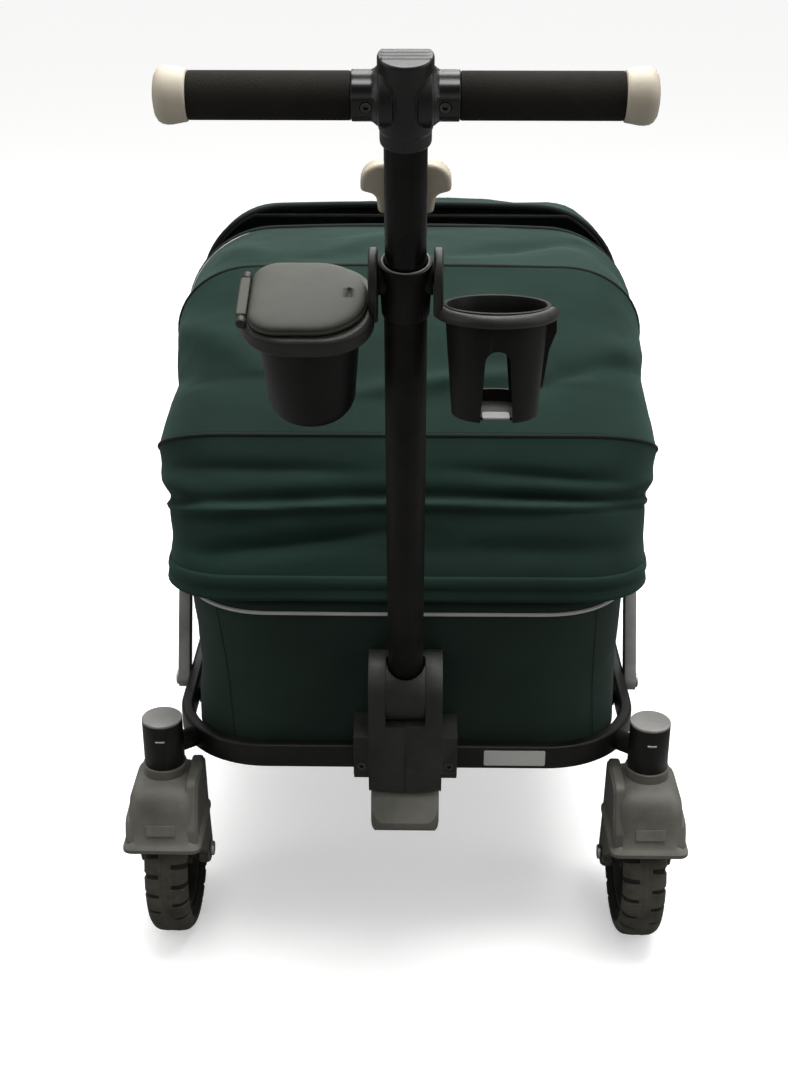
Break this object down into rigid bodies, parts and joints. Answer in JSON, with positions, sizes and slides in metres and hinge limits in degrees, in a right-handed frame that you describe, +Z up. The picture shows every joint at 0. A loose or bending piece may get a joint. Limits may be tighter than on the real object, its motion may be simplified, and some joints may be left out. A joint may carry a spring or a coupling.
{
  "type": "pull wagon",
  "caption": "Pull wagon with a ring base on casters, fabric basket, two folding hoods, and a tilting telescopic handle that carries a lidded box and a cup holder.",
  "frame": {"origin": "centre of the footprint's bounding box, on the floor", "axes": "+X to the wagon's right seen from the handle end looking along +Y, +Y from the handle end to the far end, +Z up"},
  "size_m": [0.6606, 1.1997, 1.0802],
  "materials": {
    "satin_black_tube": "satin powder coat",
    "pole_black": "satin powder coat",
    "gloss_black_tube": "semi-gloss",
    "steel_zinc": "zinc-plated",
    "fork_grey": "fine moulded texture",
    "black_plastic": "fine moulded texture",
    "housing_plastic": "fine moulded texture",
    "pedal_grey": "moulded texture",
    "lid_grey": "fine moulded texture",
    "strut_grey": "satin moulding",
    "trim_beige": "soft satin",
    "foam_black": "closed-cell foam",
    "tyre_rubber": "moulded rubber",
    "rim_plastic": "moulded",
    "board": "matte",
    "canopy_fabric": "woven polyester",
    "basket_fabric": "woven polyester",
    "pad_fabric": "woven polyester"
  },
  "bodies": {
    "base": {"ring_frame": "satin_black_tube", "corner_posts": "satin_black_tube", "post_caps": "black_plastic", "swivel_bearings": "steel_zinc", "rear_forks": "fork_grey", "rear_axles": "steel_zinc", "floor_board": "board", "floor_pad": "pad_fabric", "basket": "basket_fabric", "strut_pins": "steel_zinc", "hinge_housing_left": "housing_plastic", "hinge_housing_right": "housing_plastic", "housing_screws": "steel_zinc", "hinge_pins": "steel_zinc", "pedal_spring": "steel_zinc"},
    "foot_pedal": {"foot_pedal": "pedal_grey"},
    "caster_left": {"caster_fork_left": "fork_grey", "caster_axle_left": "steel_zinc"},
    "caster_right": {"caster_fork_right": "fork_grey", "caster_axle_right": "steel_zinc"},
    "wheel_front_left": {"rim_front_left": "rim_plastic", "tyre_front_left": "tyre_rubber"},
    "wheel_front_right": {"rim_front_right": "rim_plastic", "tyre_front_right": "tyre_rubber"},
    "wheel_rear_left": {"rim_rear_left": "rim_plastic", "tyre_rear_left": "tyre_rubber"},
    "wheel_rear_right": {"rim_rear_right": "rim_plastic", "tyre_rear_right": "tyre_rubber"},
    "front_struts": {"front_struts": "strut_grey"},
    "rear_struts": {"rear_struts": "strut_grey"},
    "upper_frame": {"top_rail": "satin_black_tube", "hood_pivots": "black_plastic"},
    "near_bow_1": {"near_bow_1": "satin_black_tube", "near_cloth_1": "canopy_fabric"},
    "near_bow_2": {"near_bow_2": "satin_black_tube", "near_cloth_2": "canopy_fabric"},
    "near_bow_3": {"near_bow_3": "satin_black_tube", "near_cloth_3": "canopy_fabric"},
    "far_bow_1": {"far_bow_1": "satin_black_tube", "far_cloth_1": "canopy_fabric"},
    "far_bow_2": {"far_bow_2": "satin_black_tube", "far_cloth_2": "canopy_fabric"},
    "far_bow_3": {"far_bow_3": "satin_black_tube", "far_cloth_3": "canopy_fabric"},
    "handle": {"lower_pole": "pole_black", "handle_knuckle": "housing_plastic", "accessory_collar": "housing_plastic"},
    "grip": {"upper_pole": "gloss_black_tube", "handle_hub": "gloss_black_tube", "cross_tube": "gloss_black_tube", "foam_grips": "foam_black", "grip_caps": "trim_beige", "hub_screws": "steel_zinc", "trigger_spring": "steel_zinc"},
    "trigger": {"trigger": "trim_beige"},
    "snack_box": {"snack_ring": "housing_plastic", "snack_bucket": "black_plastic"},
    "snack_lid": {"snack_lid": "lid_grey"},
    "cup_holder": {"cup_holder": "black_plastic"},
    "rear_brake": {"rear_brake": "satin_black_tube"}
  },
  "joints": [
    {"name": "frame_fold", "type": "hinge", "parent": "base", "child": "front_struts", "pos_m": [0, -0.12216, 0.27], "axis": [-1, 0, 0], "range_deg": [0, 45], "deforming": ["basket"]},
    {"name": "rear_strut_fold", "type": "hinge", "parent": "base", "child": "rear_struts", "pos_m": [0, 0.28784, 0.27], "axis": [-1, 0, 0], "range_deg": [0, 45]},
    {"name": "rail_level", "type": "hinge", "parent": "front_struts", "child": "upper_frame", "pos_m": [0, -0.04288, 0.44], "axis": [1, 0, 0], "range_deg": [0, 45]},
    {"name": "near_hood_fold", "type": "hinge", "parent": "upper_frame", "child": "near_bow_1", "pos_m": [0, 0.03984, 0.47], "axis": [1, 0, 0], "range_deg": [0, 24.5], "deforming": ["near_cloth_1"]},
    {"name": "near_hood_middle", "type": "hinge", "parent": "near_bow_1", "child": "near_bow_2", "pos_m": [0, 0.03984, 0.47], "axis": [1, 0, 0], "range_deg": [0, 34.5], "deforming": ["near_cloth_2"]},
    {"name": "near_hood_lead", "type": "hinge", "parent": "near_bow_2", "child": "near_bow_3", "pos_m": [0, 0.03984, 0.47], "axis": [1, 0, 0], "range_deg": [0, 14], "deforming": ["near_cloth_3"]},
    {"name": "far_hood_fold", "type": "hinge", "parent": "upper_frame", "child": "far_bow_1", "pos_m": [0, 0.16984, 0.47], "axis": [-1, 0, 0], "range_deg": [0, 24.5], "deforming": ["far_cloth_1"]},
    {"name": "far_hood_middle", "type": "hinge", "parent": "far_bow_1", "child": "far_bow_2", "pos_m": [0, 0.16984, 0.47], "axis": [-1, 0, 0], "range_deg": [0, 34.5], "deforming": ["far_cloth_2"]},
    {"name": "far_hood_lead", "type": "hinge", "parent": "far_bow_2", "child": "far_bow_3", "pos_m": [0, 0.16984, 0.47], "axis": [-1, 0, 0], "range_deg": [0, 14], "deforming": ["far_cloth_3"]},
    {"name": "handle_tilt", "type": "hinge", "parent": "base", "child": "handle", "pos_m": [0, -0.32516, 0.377], "axis": [1, 0, 0], "range_deg": [-12, 55]},
    {"name": "handle_extend", "type": "slide", "parent": "handle", "child": "grip", "axis": [0, -0.342, 0.9397], "range_m": [0, 0.16]},
    {"name": "trigger_pull", "type": "slide", "parent": "grip", "child": "trigger", "axis": [0, -0.342, 0.9397], "range_m": [0, 0.005], "stiffness_N_per_m": 900, "springref_m": -0.004, "deforming": ["trigger_spring"]},
    {"name": "snack_tilt", "type": "hinge", "parent": "handle", "child": "snack_box", "pos_m": [0, -0.51156, 0.88913], "axis": [1, 0, 0], "range_deg": [-55, 20]},
    {"name": "cup_tilt", "type": "hinge", "parent": "handle", "child": "cup_holder", "pos_m": [0, -0.51156, 0.88913], "axis": [1, 0, 0], "range_deg": [-55, 20]},
    {"name": "lid_open", "type": "hinge", "parent": "snack_box", "child": "snack_lid", "pos_m": [-0.1423, -0.50345, 0.86686], "axis": [0, -0.9397, -0.342], "range_deg": [0, 110]},
    {"name": "pedal_press", "type": "hinge", "parent": "base", "child": "foot_pedal", "pos_m": [0, -0.33316, 0.277], "axis": [1, 0, 0], "range_deg": [0, 10], "stiffness_Nm_per_rad": 6, "springref_deg": -6.88},
    {"name": "caster_swivel_left", "type": "hinge", "parent": "base", "child": "caster_left", "pos_m": [-0.284, -0.29016, 0.252], "axis": [0, 0, 1], "continuous": true},
    {"name": "wheel_spin_front_left", "type": "hinge", "parent": "caster_left", "child": "wheel_front_left", "pos_m": [-0.284, -0.25216, 0.1], "axis": [1, 0, 0], "continuous": true},
    {"name": "wheel_spin_rear_left", "type": "hinge", "parent": "base", "child": "wheel_rear_left", "pos_m": [-0.284, 0.49984, 0.1], "axis": [1, 0, 0], "continuous": true},
    {"name": "caster_swivel_right", "type": "hinge", "parent": "base", "child": "caster_right", "pos_m": [0.284, -0.29016, 0.252], "axis": [0, 0, 1], "continuous": true},
    {"name": "wheel_spin_front_right", "type": "hinge", "parent": "caster_right", "child": "wheel_front_right", "pos_m": [0.284, -0.25216, 0.1], "axis": [1, 0, 0], "continuous": true},
    {"name": "wheel_spin_rear_right", "type": "hinge", "parent": "base", "child": "wheel_rear_right", "pos_m": [0.284, 0.49984, 0.1], "axis": [1, 0, 0], "continuous": true},
    {"name": "brake_press", "type": "hinge", "parent": "base", "child": "rear_brake", "pos_m": [0, 0.57484, 0.2], "axis": [-1, 0, 0], "range_deg": [0, 35]}
  ],
  "couplings": [
    {"joint": "rear_strut_fold", "follows": "frame_fold", "ratio": 1},
    {"joint": "rail_level", "follows": "frame_fold", "ratio": 1},
    {"joint": "near_hood_middle", "follows": "near_hood_fold", "ratio": 1.4082},
    {"joint": "near_hood_lead", "follows": "near_hood_fold", "ratio": 0.57143},
    {"joint": "far_hood_middle", "follows": "far_hood_fold", "ratio": 1.4082},
    {"joint": "far_hood_lead", "follows": "far_hood_fold", "ratio": 0.57143}
  ]
}
